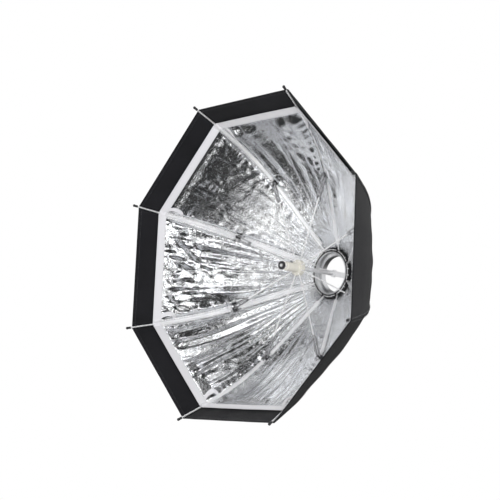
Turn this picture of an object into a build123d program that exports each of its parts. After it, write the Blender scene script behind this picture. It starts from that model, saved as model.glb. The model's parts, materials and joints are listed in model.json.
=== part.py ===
from build123d import *
import math
import os

os.makedirs("parts", exist_ok=True)

# Octagonal umbrella softbox, millimetres and degrees.
# The axis runs along Y: the flash head is at +Y and the open mouth faces -Y, with +Z up.
# The origin is the centre of the mount ring's rear face.

# ---------------- driving dimensions ----------------
rib_count = 8
rib_pitch = 360 / rib_count
first_rib_angle = rib_pitch / 2      # from +X towards +Z, so that two flats are upright
fit_gap = 0.3                        # clearance between pieces that don't bear on each other
running_gap = 0.06                   # radial clearance of a pin or a sleeve that slides

# flash mount ring: a three-lug bayonet behind a flange
throat_radius = 44.0
barrel_wall = 2.5
barrel_length = 6.0
lug_count = 3
lug_reach = 3.0
lug_thickness = 3.0
lug_angle = 40.0
flange_thickness = 8.0
edge_chamfer = 0.7

# crown: the notched ring that the ribs hinge in
bridge_ledge = 6.0                   # face of the flange inside the crown, where the bridge rests
crown_inner_wall = 5.5               # from the crown's bore to the hinge wire
crown_outer_wall = 4.5               # from the hinge wire to the crown's outside
crown_thickness = 16.0
rib_pivot_depth = 9.0                # from the crown's rear face to the hinge wire
crown_wire_radius = 1.2
notch_width = 3.0
notch_depth = 4.0

# ribs: straight, then a long arc, then straight to the mouth
rib_radius = 2.0
rib_rear_angle = 55.9                # from the axis, where a rib leaves the crown
rib_rear_length = 178.0
rib_arc_radius = 515.0
rib_arc_sweep = 24.3
rib_front_length = 79.0
rib_overhang = 13.0                  # from the fabric's front edge to the ball tip's centre
rib_eye_radius = 3.4
rib_eye_width = 4.6
tip_ball_radius = 3.4
tip_sleeve_radius = 2.9
tip_sleeve_length = 9.0

# clips that join the stretchers to the ribs
clip_distance = 214.0                # along the rib from its hinge
clip_offset = 6.0                    # from the rib to the clip's rivet, inwards
clip_sleeve_length = 14.0
clip_wall = 0.9
clip_bore_gap = 0.12                 # the clip is straight and the rib curves
clip_ear_thickness = 2.0
clip_ear_radius = 2.8
rivet_radius = 1.7
rivet_head = 0.8

# central shaft, its bridge and its end knob
shaft_radius = 5.0
shaft_wall = 1.4
shaft_front = 168.0                  # from the rib hinges to the shaft's front end
bridge_width = 13.0
bridge_thickness = 4.0
bridge_boss_radius = 9.0
bridge_boss_height = 2.0
bridge_angle = 11.0                  # turn of the bridge about the axis, from level
screw_radius = 1.5
screw_head_radius = 2.6
screw_head_height = 1.6
knob_radius = 10.0
knob_length = 6.0
knob_recess_radius = 7.0
knob_recess_depth = 2.0
end_ball_radius = 4.2

# runner: the sleeve that slides on the shaft and carries the stretchers
runner_open = 118.0                  # from the rib hinges to the stretcher hinges, mouth open
runner_pivot_radius = 16.0
runner_wire_radius = 1.0
runner_flange_radius = 19.0
runner_flange_rear = 6.0
runner_flange_front = 4.0
runner_sleeve_radius = 10.5
runner_sleeve_front = 40.0           # from the stretcher hinges to the sleeve's front end
stretcher_eye_radius = 2.8
stretcher_eye_width = 3.0
stretcher_radius = 1.5
fork_gap = 6.6
fork_arm_thickness = 1.0
fork_slot_length = 44.0
fork_base_length = 6.0
fork_arm_height = 5.0
fork_base_height = 4.0

# release button on the runner
button_radius = 3.0
button_flange_radius = 3.8
button_flange_thickness = 1.0
button_travel = 2.0
button_proud = 2.0
button_position = 22.0               # from the stretcher hinges, forwards
button_angle = 90.0                  # on top

# fabric, its clamp band and the hook-and-loop tape
canopy_wall = 1.2
canopy_gap = 0.3                     # between a clip's sleeve and the fabric outside it
canopy_rear_distance = 13.0          # along the rib from its hinge
clamp_wall = 2.6
clamp_width = 7.5
tape_wall = 0.8
tape_width = 20.0
lip_width = 51.0                     # black lip in front of the tape
tape_rib_gap = 4.5

# ---------------- derived places ----------------
half_pitch = rib_pitch / 2
crown_inner_radius = throat_radius + bridge_ledge
rib_pivot_radius = crown_inner_radius + crown_inner_wall
flange_radius = rib_pivot_radius + crown_outer_wall
screw_circle_radius = throat_radius + bridge_ledge / 2
flat_ratio = math.cos(math.radians(half_pitch))     # octagon's flat over its corner
flange_front_y = -(barrel_length + flange_thickness)
pivot_y = flange_front_y - rib_pivot_depth
crown_front_y = flange_front_y - crown_thickness
rib_arc_length = math.radians(rib_arc_sweep) * rib_arc_radius
rib_arc_start = rib_rear_length
rib_arc_end = rib_rear_length + rib_arc_length
fabric_front = rib_arc_end + rib_front_length       # along the rib, the fabric's front edge
ball_place = fabric_front + rib_overhang
canopy_inner_offset = (rib_radius + clip_wall + canopy_gap) / flat_ratio
canopy_outer_offset = canopy_inner_offset + canopy_wall
runner_y = pivot_y - runner_open
shaft_front_y = pivot_y - shaft_front


# ---------------- shared geometry ----------------
def rib_heading(distance):
    """Angle between the rib and the axis at a distance along the rib."""
    turned = min(max(distance - rib_arc_start, 0), rib_arc_length) / rib_arc_radius
    return math.radians(rib_rear_angle) - turned


def rib_point(distance, outward=0.0):
    """Point (radius, y) at a distance along the rib, moved outwards from it."""
    rear = math.radians(rib_rear_angle)
    angle = rib_heading(distance)
    straight = min(distance, rib_arc_start)
    radius = rib_pivot_radius + straight * math.sin(rear)
    y = pivot_y - straight * math.cos(rear)
    radius += rib_arc_radius * (math.cos(angle) - math.cos(rear))
    y -= rib_arc_radius * (math.sin(rear) - math.sin(angle))
    front = max(distance - rib_arc_end, 0)
    radius += front * math.sin(angle) + outward * math.cos(angle)
    y += outward * math.sin(angle) - front * math.cos(angle)
    return radius, y


def meridian(start, end, outward, squeeze=1.0):
    """Edges along the rib from start to end, moved outwards, with the radius squeezed."""
    def place(distance):
        radius, y = rib_point(distance, outward)
        return radius * squeeze, y
    edges = []
    stops = [start] + [s for s in (rib_arc_start, rib_arc_end) if start < s < end] + [end]
    for a, b in zip(stops, stops[1:]):
        if rib_arc_start <= a and b <= rib_arc_end:
            edges.append(ThreePointArc(place(a), place((a + b) / 2), place(b)))
        else:
            edges.append(Line(place(a), place(b)))
    return edges


def at_rib(shape, index):
    """A shape drawn in the XY plane for a rib along +X, turned to rib number index."""
    return Rot(0, -(first_rib_angle + rib_pitch * index), 0) * shape


def disc(radius, y_front, y_rear):
    """Solid disc about the axis, from y_front to y_rear."""
    return Pos(0, (y_front + y_rear) / 2, 0) * Rot(90, 0, 0) * Cylinder(radius, y_rear - y_front)


def ring(inner, outer, y_front, y_rear):
    """Ring about the axis."""
    return disc(outer, y_front, y_rear) - disc(inner, y_front - 1, y_rear + 1)


def rim_edges(shape, radius):
    """Round edges about the axis with this radius."""
    circles = shape.edges().filter_by(GeomType.CIRCLE)
    return [e for e in circles if abs(e.radius - radius) < 0.01 and abs(e.arc_center.X) + abs(e.arc_center.Z) < 0.01]


def wire_hoop(radius, thickness, y):
    """Round wire bent to a hoop about the axis."""
    return Pos(0, y, 0) * Rot(90, 0, 0) * Torus(radius, thickness)


def cross_pin(radius, width, x, y):
    """Cylinder across the rib's plane."""
    return Pos(x, y, 0) * Cylinder(radius, width)


def wedge(angle_from, angle_to, reach):
    """Everything between two half-planes through the axis, angles from +X towards +Z."""
    corners = [(0.0, 0.0)]
    for angle in (angle_from, angle_to):
        a = math.radians(angle)
        corners.append((reach * math.cos(a), reach * math.sin(a)))
    # Plane.XZ looks along -Y, so its own second axis is +Z
    return extrude(Plane.XZ * make_face(Polyline(*corners, close=True)), amount=reach, both=True)


def shell_half(side, start, end, inner, outer, rib_clear, edge_gap):
    """Half of a rib's fabric: the flat on one side of it, out to the gore's centre line."""
    near = meridian(start, end, inner, flat_ratio)
    far = meridian(start, end, outer, flat_ratio)
    caps = [Line(near[0] @ 0, far[0] @ 0), Line(near[-1] @ 1, far[-1] @ 1)]
    face = make_face(Curve() + near + far + caps)
    reach = 2 * rib_point(end)[0]
    slab = extrude(face, amount=reach / 2, both=True)
    slab = Rot(0, -side * half_pitch, 0) * slab
    part = slab & wedge(*sorted((0, side * half_pitch)), reach * 1.2)
    if rib_clear:
        part -= Box(2 * reach, 2 * reach, 2 * rib_clear)
    if edge_gap:
        cut = Rot(0, -side * half_pitch, 0) * Box(2 * reach, 2 * reach, 2 * edge_gap)
        part -= cut
    return part


# ---------------- hub ----------------
def mount_ring():
    """Silver ring: bayonet barrel with lugs, and the flange that carries the crown."""
    barrel_radius = throat_radius + barrel_wall
    body = disc(barrel_radius, -barrel_length - 1, 0) + disc(flange_radius, flange_front_y, -barrel_length)
    lug_ring = ring(barrel_radius - 1, barrel_radius + lug_reach, -lug_thickness, 0)
    for index in range(lug_count):
        middle = 90 + index * 360 / lug_count
        body += lug_ring & wedge(middle - lug_angle / 2, middle + lug_angle / 2, 2 * flange_radius)
    body -= disc(throat_radius, flange_front_y - 1, 1)
    body = chamfer(rim_edges(body, flange_radius), edge_chamfer)
    for place in screw_places():
        body -= Pos(*place) * Rot(90, 0, 0) * Cylinder(screw_radius + fit_gap / 3, 2 * flange_thickness - 4)
    return body


def screw_places():
    """Where the bridge's two screws cross the flange's front face."""
    a = math.radians(-bridge_angle)
    x, z = screw_circle_radius * math.cos(a), screw_circle_radius * math.sin(a)
    return [(x, flange_front_y, z), (-x, flange_front_y, -z)]


def crown():
    """Black ring with a slot for each rib and small notches between them."""
    body = ring(crown_inner_radius, flange_radius, crown_front_y, flange_front_y)
    body = chamfer([e for e in body.edges() if e.center().Y < crown_front_y + 1], edge_chamfer)
    slot_inner = rib_pivot_radius - rib_eye_radius - fit_gap
    slot_rear = pivot_y + rib_eye_radius + fit_gap
    slot = Pos((slot_inner + 2 * flange_radius) / 2, (slot_rear + 2 * crown_front_y) / 2, 0) * Box(
        2 * flange_radius - slot_inner, slot_rear - 2 * crown_front_y, rib_eye_width + 2 * fit_gap)
    notch = Pos(flange_radius, crown_front_y, 0) * Box(
        2 * (flange_radius - crown_inner_radius) / 3, 2 * notch_depth, notch_width)
    for index in range(rib_count):
        body -= at_rib(slot, index)
        for step in (1 / 3, 2 / 3):
            body -= at_rib(notch, index + step)
    body -= wire_hoop(rib_pivot_radius, crown_wire_radius + running_gap, pivot_y)
    return body


def crown_wire():
    return wire_hoop(rib_pivot_radius, crown_wire_radius, pivot_y)


def clamp_band():
    """Band round the crown that holds the fabric's rear edge."""
    body = ring(flange_radius + running_gap, flange_radius + clamp_wall,
                flange_front_y - fit_gap - clamp_width, flange_front_y - fit_gap)
    return fillet(rim_edges(body, flange_radius + clamp_wall), edge_chamfer)


def bridge():
    """Flat bar across the crown's mouth, with a boss that holds the shaft."""
    rear = flange_front_y
    front = rear - bridge_thickness
    bar = Pos(0, (front + rear) / 2, 0) * Box(2 * flange_radius, bridge_thickness, bridge_width)
    bar = Rot(0, bridge_angle, 0) * bar
    body = bar & disc(crown_inner_radius - fit_gap, front, rear)
    body += disc(bridge_boss_radius, front - bridge_boss_height, rear)
    body -= disc(shaft_radius, front - 2 * bridge_boss_height, rear + 1)
    for place in screw_places():
        body -= Pos(*place) * Rot(90, 0, 0) * Cylinder(screw_radius + fit_gap / 3, 4 * bridge_thickness)
    return body


def bridge_screws():
    """Two pan-head screws through the bridge into the flange."""
    screws = []
    front = flange_front_y - bridge_thickness
    tip = flange_front_y + flange_thickness - 3
    for x, _, z in screw_places():
        shank = Pos(x, 0, z) * disc(screw_radius, front, tip)
        head = Pos(x, 0, z) * disc(screw_head_radius, front - screw_head_height, front)
        slot = Pos(x, front - screw_head_height, z) * Box(4 * screw_head_radius, 1.2, 0.6)
        screws.append((shank + head) - slot)
    return Compound(screws)


def shaft():
    """Chromed tube, with its rear end in the bridge's boss."""
    return ring(shaft_radius - shaft_wall, shaft_radius, shaft_front_y, flange_front_y)


def shaft_knob():
    """Black stop ring on the shaft's front end, with a dished face."""
    front = shaft_front_y - knob_length
    body = disc(knob_radius, front, shaft_front_y)
    body = fillet(body.edges().filter_by(GeomType.CIRCLE), 1.2)
    body -= disc(knob_recess_radius, front - 1, front + knob_recess_depth)
    body += disc(shaft_radius - shaft_wall - running_gap, shaft_front_y - 1, shaft_front_y + knob_length)
    return body


def shaft_end_ball():
    """Bright ball nut in the knob's dish."""
    dish = shaft_front_y - knob_length + knob_recess_depth
    ball = Pos(0, dish, 0) * Sphere(end_ball_radius)
    return ball & disc(2 * end_ball_radius, dish - 2 * end_ball_radius, dish)


# ---------------- rib assembly, drawn along +X ----------------
def rib():
    start = rib_eye_radius - 0.8
    path = Wire(meridian(start, ball_place, 0))
    heading = rib_heading(start)
    section = Plane(path @ 0, z_dir=(math.sin(heading), -math.cos(heading), 0)) * Circle(rib_radius)
    rod = sweep(section, path=path)
    eye = cross_pin(rib_eye_radius, rib_eye_width, rib_pivot_radius, pivot_y)
    hole = cross_pin(crown_wire_radius + 1.5 * running_gap, 2 * rib_eye_width, rib_pivot_radius, pivot_y)
    return rod + eye - hole


def rib_tip():
    """Moulded cap with a ball end, pushed on the rib's front end."""
    heading = rib_heading(fabric_front)
    along = (math.sin(heading), -math.cos(heading), 0)
    ball = Pos(*rib_point(ball_place)) * Sphere(tip_ball_radius)
    back = rib_point(ball_place - tip_sleeve_length)
    sleeve = extrude(Plane(back, z_dir=along) * Circle(tip_sleeve_radius), amount=tip_sleeve_length)
    socket = extrude(Plane(back, z_dir=along) * Circle(rib_radius), amount=tip_sleeve_length)
    return ball + sleeve - socket


def clip_pivot():
    return rib_point(clip_distance, -clip_offset)


def rib_clip():
    """Sleeve on the rib with an ear, and the rivet that the stretcher's fork turns on."""
    heading = rib_heading(clip_distance)
    along = (math.sin(heading), -math.cos(heading), 0)
    back = rib_point(clip_distance - clip_sleeve_length / 2)
    plane = Plane(back, z_dir=along)
    outer = extrude(plane * Circle(rib_radius + clip_wall), amount=clip_sleeve_length)
    bore = extrude(plane * Circle(rib_radius + clip_bore_gap), amount=clip_sleeve_length)
    pivot = clip_pivot()
    ear = cross_pin(clip_ear_radius, clip_ear_thickness, *pivot)
    neck_middle = rib_point(clip_distance, -clip_offset / 2)
    neck = Pos(*neck_middle) * Rot(0, 0, math.degrees(heading) - 90) * Box(
        2 * clip_ear_radius, clip_offset, clip_ear_thickness)
    rivet = cross_pin(rivet_radius, clip_ear_thickness + 2 * rivet_head, *pivot)
    return outer + ear + neck + rivet - bore


def canopy():
    """One rib's share of the fabric, from the gore's centre line on each side."""
    halves = [shell_half(side, canopy_rear_distance, fabric_front, canopy_inner_offset,
                         canopy_outer_offset, 0, fit_gap / 2) for side in (1, -1)]
    return halves[0] + halves[1]


def tape():
    """Hook-and-loop tape on the fabric's inner face, in two lengths beside the rib."""
    end = fabric_front - lip_width
    halves = [shell_half(side, end - tape_width, end, canopy_inner_offset - tape_wall,
                         canopy_inner_offset, tape_rib_gap, fit_gap / 2) for side in (1, -1)]
    return Compound([half.solid() for half in halves])


# ---------------- runner ----------------
def runner():
    """Moulded sleeve with a slotted flange for the stretchers' eyes."""
    front = runner_y - runner_sleeve_front
    body = disc(runner_sleeve_radius, front, runner_y + runner_flange_rear)
    body = fillet(body.edges().filter_by(GeomType.CIRCLE).sort_by(Axis.Y)[0], 1.5)
    body += disc(runner_flange_radius, runner_y - runner_flange_front, runner_y + runner_flange_rear)
    slot_inner = runner_pivot_radius - stretcher_eye_radius - fit_gap
    slot_rear = runner_y + stretcher_eye_radius + fit_gap
    slot_front = runner_y - 2 * runner_flange_front
    slot = Pos((slot_inner + 2 * runner_flange_radius) / 2, (slot_rear + slot_front) / 2, 0) * Box(
        2 * runner_flange_radius - slot_inner, slot_rear - slot_front, stretcher_eye_width + 2 * fit_gap)
    for index in range(rib_count):
        body -= at_rib(slot, index)
    body -= wire_hoop(runner_pivot_radius, runner_wire_radius + running_gap, runner_y)
    body -= disc(shaft_radius + running_gap, front - 1, runner_y + runner_flange_rear + 1)
    body -= button_space(button_radius + running_gap, 0, 2 * runner_sleeve_radius)
    pocket_roof = runner_sleeve_radius + button_proud - button_height() + button_flange_thickness + 0.1
    body -= button_space(button_flange_radius + 0.1, 0, pocket_roof)
    return body


def button_height():
    """From the button's foot to its head; the foot stays clear of the shaft when pressed."""
    return runner_sleeve_radius + button_proud - (shaft_radius + button_travel + fit_gap)


def button_space(radius, inner, outer):
    """Cylinder standing on the axis at the button's place."""
    middle = Pos(0, runner_y - button_position, 0) * Rot(0, -button_angle, 0)
    return middle * Pos((inner + outer) / 2, 0, 0) * Rot(0, 90, 0) * Cylinder(radius, outer - inner)


def release_button():
    """Press button with a flange that keeps it in the sleeve."""
    head = runner_sleeve_radius + button_proud
    foot = head - button_height()
    body = button_space(button_radius, foot, head)
    body = fillet(body.edges().filter_by(GeomType.CIRCLE).sort_by(Axis.Z)[-1], 0.7)
    return body + button_space(button_flange_radius, foot, foot + button_flange_thickness)


def runner_wire():
    return wire_hoop(runner_pivot_radius, runner_wire_radius, runner_y)


def stretcher():
    """Rod with an eye on the runner's wire and a fork that straddles its rib."""
    pivot = clip_pivot()
    dx, dy = pivot[0] - runner_pivot_radius, pivot[1] - runner_y
    length = math.hypot(dx, dy)
    fork_start = length - fork_slot_length - fork_base_length
    rod = Pos((stretcher_eye_radius + fork_start) / 2, 0, 0) * Rot(0, 90, 0) * Cylinder(
        stretcher_radius, fork_start - stretcher_eye_radius + 2)
    eye = Cylinder(stretcher_eye_radius, stretcher_eye_width)
    fork_width = fork_gap + 2 * fork_arm_thickness
    base = Pos(fork_start + fork_base_length / 2, 0, 0) * Box(fork_base_length, fork_base_height, fork_width)
    arm_length = fork_slot_length + fork_base_length / 2
    arms = Pos(length - arm_length / 2, 0, 0) * Box(arm_length, fork_arm_height, fork_width)
    arms += Pos(length, 0, 0) * Cylinder(fork_arm_height / 2, fork_width)
    gap = Pos(length - fork_slot_length / 2 + fork_arm_height, 0, 0) * Box(
        fork_slot_length + 2 * fork_arm_height, 2 * fork_arm_height, fork_gap)
    hole = Cylinder(runner_wire_radius + 1.5 * running_gap, 2 * stretcher_eye_width)
    rivet_hole = Pos(length, 0, 0) * Cylinder(rivet_radius / 2, 2 * fork_width)
    body = rod + eye + base + arms - gap - hole - rivet_hole
    turn = math.degrees(math.atan2(dy, dx))
    return Pos(runner_pivot_radius, runner_y, 0) * Rot(0, 0, turn) * body


# ---------------- write the parts ----------------
nodes = {
    "mount_ring": mount_ring(),
    "crown": crown(),
    "crown_wire": crown_wire(),
    "clamp_band": clamp_band(),
    "bridge": bridge(),
    "bridge_screws": bridge_screws(),
    "shaft": shaft(),
    "shaft_knob": shaft_knob(),
    "shaft_end_ball": shaft_end_ball(),
    "runner": runner(),
    "runner_wire": runner_wire(),
    "release_button": release_button(),
}
repeated = {
    "rib": rib(),
    "rib_tip": rib_tip(),
    "rib_clip": rib_clip(),
    "stretcher": stretcher(),
    "canopy": canopy(),
    "tape": tape(),
}
for name, shape in repeated.items():
    for index in range(rib_count):
        nodes[f"{name}_{index + 1}"] = at_rib(shape, index)

for name, shape in nodes.items():
    export_step(shape, f"parts/{name}.step")
    print(name, "solids", len(shape.solids()), "volume", round(shape.volume, 1))
print("pivot y", round(pivot_y, 3), "fabric front", rib_point(fabric_front, canopy_outer_offset))
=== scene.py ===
import bmesh
import bpy
import json
import math
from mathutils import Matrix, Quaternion, Vector, noise


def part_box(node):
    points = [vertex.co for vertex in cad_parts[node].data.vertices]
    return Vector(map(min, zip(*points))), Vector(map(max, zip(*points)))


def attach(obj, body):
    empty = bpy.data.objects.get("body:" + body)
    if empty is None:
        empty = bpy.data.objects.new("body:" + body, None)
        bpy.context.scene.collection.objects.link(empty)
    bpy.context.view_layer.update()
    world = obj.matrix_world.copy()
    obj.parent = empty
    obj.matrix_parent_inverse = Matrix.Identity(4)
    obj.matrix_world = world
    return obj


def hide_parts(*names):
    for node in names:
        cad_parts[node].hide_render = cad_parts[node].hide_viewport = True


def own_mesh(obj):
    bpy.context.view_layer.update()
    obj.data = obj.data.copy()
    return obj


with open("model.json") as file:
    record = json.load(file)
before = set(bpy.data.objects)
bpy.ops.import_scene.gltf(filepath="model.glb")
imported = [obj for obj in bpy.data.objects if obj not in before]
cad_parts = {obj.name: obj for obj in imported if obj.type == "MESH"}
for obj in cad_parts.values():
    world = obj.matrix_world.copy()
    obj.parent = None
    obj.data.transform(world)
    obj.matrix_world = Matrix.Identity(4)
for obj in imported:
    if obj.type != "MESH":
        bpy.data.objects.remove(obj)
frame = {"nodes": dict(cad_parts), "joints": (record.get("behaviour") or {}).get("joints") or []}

nodes = frame["nodes"]
joints = {joint["name"]: joint for joint in frame["joints"]}
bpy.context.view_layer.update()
print("frame loaded:", len(nodes), "CAD nodes")

# the rib's line, as the steel is bent: straight, a long arc, straight again
ribLine = {
    "count": 8,
    "firstAngle": math.radians(22.5),
    "rearAngle": math.radians(55.9),
    "rearLength": 0.178,
    "arcRadius": 0.515,
    "arcSweep": math.radians(24.3),
    "frontLength": 0.079,
    "clipDistance": 0.214,
    "lipWidth": 0.051,
    "tapeWidth": 0.020,
    "roundUntil": 0.012,        # the cloth is round about the crown until here
    "flatFrom": 0.08,           # and flat between two ribs from here on
}
ribPitch = 2 * math.pi / ribLine["count"]
halfPitch = ribPitch / 2
pivot = Vector(joints["rib_fold_1"]["pos_m"])
pivotRadius = math.hypot(pivot.x, pivot.z)
pivotY = pivot.y
arcLength = ribLine["arcRadius"] * ribLine["arcSweep"]
arcEnd = ribLine["rearLength"] + arcLength
fabricFront = arcEnd + ribLine["frontLength"]
lipStart = fabricFront - ribLine["lipWidth"]
tapeStart = lipStart - ribLine["tapeWidth"]


def ribHeading(distance):
    turned = min(max(distance - ribLine["rearLength"], 0), arcLength) / ribLine["arcRadius"]
    return ribLine["rearAngle"] - turned


# radius and y at a distance along the rib from its hinge, moved outwards
def ribPlace(distance, outward=0.0):
    rear, arc = ribLine["rearAngle"], ribLine["arcRadius"]
    angle = ribHeading(distance)
    straight = min(distance, ribLine["rearLength"])
    front = max(distance - arcEnd, 0)
    radius = pivotRadius + straight * math.sin(rear) + arc * (math.cos(angle) - math.cos(rear))
    y = pivotY - straight * math.cos(rear) - arc * (math.sin(rear) - math.sin(angle))
    return (radius + front * math.sin(angle) + outward * math.cos(angle),
            y - front * math.cos(angle) + outward * math.sin(angle))


def ribAngle(index):
    return ribLine["firstAngle"] + ribPitch * index


def radial(angle):
    return Vector((math.cos(angle), 0, math.sin(angle)))


def tangent(angle):
    return Vector((-math.sin(angle), 0, math.cos(angle)))


# A place on the fabric. across runs from -1 to 1 between the centre lines of the two gores beside a rib.
# Returns the place, the outward direction, the distance from the gore's centre line and the gore's number.
def gorePlace(index, across, distance, outward):
    side = 1 if across >= 0 else -1
    goreAngle = ribAngle(index) + side * halfPitch
    radius, y = ribPlace(distance, outward)
    fromCentre = -side * radius * math.sin(halfPitch) * (1 - abs(across))
    place = radial(goreAngle) * radius * math.cos(halfPitch) + tangent(goreAngle) * fromCentre
    flatness = smooth(distance, ribLine["roundUntil"], ribLine["flatFrom"])
    place *= 1 + (radius / place.length - 1) * (1 - flatness)
    heading = ribHeading(distance)
    normal = radial(goreAngle) * math.cos(heading) + Vector((0, math.sin(heading) * math.cos(halfPitch), 0))
    gore = (index if side > 0 else index - 1) % ribLine["count"]
    return place + Vector((0, y, 0)), normal.normalized(), fromCentre, gore


def halfWidth(distance):
    return ribPlace(distance)[0] * math.sin(halfPitch)


# straight out from the rib, square to its line
def ribOutward(index, distance):
    heading = ribHeading(distance)
    return radial(ribAngle(index)) * math.cos(heading) + Vector((0, math.sin(heading), 0))


def smooth(value, low, high):
    t = min(max((value - low) / (high - low), 0), 1)
    return t * t * (3 - 2 * t)


creaseRounding = 0.25
seedStep = 7.31        # how far apart the layers of noise for two seeds lie
narrowest = 0.01       # half width below which a gore's creases stay as they are


# a folded wave from -1 to 1 with sharp creases, rounded a little at its tops
def crease(x):
    wave = abs((x % 1.0) - 0.5) * 4 - 1
    return wave * (1 - creaseRounding * wave * wave) / (1 - creaseRounding)


def rough(x, y, seed):
    return noise.noise(Vector((x, y, seed * seedStep)))


# soft noise with a kind's own grain across and along
def softly(kind, x, y, seed):
    return rough(x * kind["grain"][0], y * kind["grain"][1], seed + kind["seed"])


# a crease that strays from its straight line
def strayCrease(kind, phase, x, y, seed):
    return crease(phase + kind["stray"] * softly(kind, x, y, seed))


# low at start and full at end
def settle(low, value, start, end):
    return low + (1 - low) * smooth(value, start, end)


# how far the cloth bows out between two ribs, from 0 on a rib to 1 on a gore's centre line
def bowShare(across):
    return math.sin(math.pi / 2 * abs(across)) ** 2


cameraSet = {"azimuth": 48.458, "elevation": -7.232, "roll": 2.684, "distance": 2.867, "lens": 90.83,
             "shiftX": 0.033, "shiftY": 0.0152, "sensor": 36}


# a direction by azimuth from the mouth towards +X and elevation, in degrees
def aim(azimuth, elevation):
    azimuth, elevation = math.radians(azimuth), math.radians(elevation)
    return Vector((math.sin(azimuth) * math.cos(elevation), -math.cos(azimuth) * math.cos(elevation),
                   math.sin(elevation)))


def addObject(name, data):
    made = bpy.data.objects.new(name, data)
    bpy.context.scene.collection.objects.link(made)
    return made


def makeCamera():
    mouth = Vector((0, ribPlace(fabricFront)[1], 0))
    back = aim(cameraSet["azimuth"], cameraSet["elevation"])
    camera = addObject("camera", bpy.data.cameras.new("camera"))
    bpy.context.scene.camera = camera
    camera.rotation_mode = "QUATERNION"
    camera.location = mouth + back * cameraSet["distance"]
    turn = Quaternion((0, 0, 1), math.radians(cameraSet["roll"]))
    camera.rotation_quaternion = back.to_track_quat("Z", "Y") @ turn
    camera.data.sensor_width = cameraSet["sensor"]
    camera.data.lens = cameraSet["lens"]
    camera.data.shift_x = cameraSet["shiftX"]
    camera.data.shift_y = cameraSet["shiftY"]


makeCamera()
print("camera made")


# small helper that adds and joins shader nodes
class Nodes:
    def __init__(self, name):
        self.material = bpy.data.materials.new(name)
        self.material.use_nodes = True
        self.tree = self.material.node_tree
        self.shader = self.tree.nodes["Principled BSDF"]

    def add(self, kind, inputs=None, **settings):
        node = self.tree.nodes.new(kind)
        for key, value in settings.items():
            setattr(node, key, value)
        for key, value in (inputs or {}).items():
            self.put(node, key, value)
        return node

    def put(self, node, key, value):
        if isinstance(value, bpy.types.NodeSocket):
            self.tree.links.new(value, node.inputs[key])
        else:
            node.inputs[key].default_value = value

    def math(self, operation, a, b=0.0):
        return self.add("ShaderNodeMath", {0: a, 1: b}, operation=operation).outputs[0]

    def noise(self, vector, scale, detail=3.0, rough=0.55):
        inputs = {"Vector": vector, "Scale": scale, "Detail": detail, "Roughness": rough}
        return self.add("ShaderNodeTexNoise", inputs).outputs["Fac"]

    def ramp(self, fac, low, high, start=0.0, end=1.0):
        node = self.add("ShaderNodeMapRange", {"Value": fac, "From Min": start, "From Max": end,
                                               "To Min": low, "To Max": high})
        return node.outputs["Result"]

    def blend(self, fac, a, b):
        node = self.add("ShaderNodeMix", {"Factor": fac}, data_type="RGBA")
        self.put(node, 6, a)
        self.put(node, 7, b)
        return node.outputs[2]

    def bump(self, height, distance, strength=1.0, normal=None):
        inputs = {"Height": height, "Distance": distance, "Strength": strength}
        if normal is not None:
            inputs["Normal"] = normal
        return self.add("ShaderNodeBump", inputs).outputs["Normal"]

    def set(self, **values):
        for key, value in values.items():
            self.put(self.shader, key.replace("_", " "), value)


def objectPlace(n):
    return n.add("ShaderNodeTexCoord").outputs["Object"]


def sheetPlace(n):
    return n.add("ShaderNodeUVMap", uv_map="cut").outputs["UV"]


# plain weave in metres of cloth: threads over and under, from two crossed waves
def weaveHeight(n, place, pitch):
    parts = n.add("ShaderNodeSeparateXYZ", {"Vector": place})
    step = 2 * math.pi / pitch
    warp = n.math("SINE", n.math("MULTIPLY", parts.outputs["X"], step))
    weft = n.math("SINE", n.math("MULTIPLY", parts.outputs["Y"], step))
    return n.math("MULTIPLY", warp, weft)


# distance from the object's axis
def fromAxis(n, place):
    parts = n.add("ShaderNodeSeparateXYZ", {"Vector": place})
    square = n.math("ADD", n.math("MULTIPLY", parts.outputs["X"], parts.outputs["X"]),
                    n.math("MULTIPLY", parts.outputs["Z"], parts.outputs["Z"]))
    return n.math("SQRT", square)


def shade(colour, amount):
    return tuple(min(c * amount, 1) for c in colour[:3]) + (1,)


# Each look holds the colours and roughness range of a finish, the scales of its noises, and its bumps as a
# distance in metres and a strength.
blackLook = {
    "dark": (0.0045, 0.0045, 0.0055, 1), "light": (0.0085, 0.0085, 0.0102, 1),
    "fleck": (0.014, 0.014, 0.0168, 1), "rough": (0.62, 0.8), "pitch": 0.0011, "cloudScale": 9.0, "fleckScale": 420.0, "softScale": 38.0,
    "softBump": (0.0009, 0.5), "weaveBump": (0.00012, 0.5), "sheen": 0.03, "sheenRough": 0.4, "specular": 0.25,
}
liningLook = {
    "dark": (0.83, 0.84, 0.865, 1), "light": (0.93, 0.94, 0.95, 1), "rough": (0.08, 0.18),
    "crinkleScale": 210.0, "crinkleTop": 0.35, "grainScale": 900.0, "cloudScale": 14.0, "fineScale": 330.0,
    "crinkleBump": (0.0011, 0.55), "fineBump": (0.0007, 0.5),
}
tautLook = {
    "dark": (0.80, 0.81, 0.83, 1), "light": (0.91, 0.91, 0.92, 1), "rough": (0.24, 0.36), "metal": 0.6,
    "cloudScale": 40.0, "fineScale": 420.0, "fineBump": (0.0004, 0.5),
}
tapeLook = {
    "dark": (0.43, 0.43, 0.447, 1), "light": (0.55, 0.542, 0.563, 1), "rough": 0.85, "sheen": 0.4,
    "loopScale": 900.0, "pitch": 0.0016, "weave": 0.2, "bump": (0.0006, 0.7),
}
steelLook = {"wearScale": 160.0, "worn": 0.86, "spread": 0.16, "scratchScale": 900.0, "scratchDepth": 0.0001}
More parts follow.
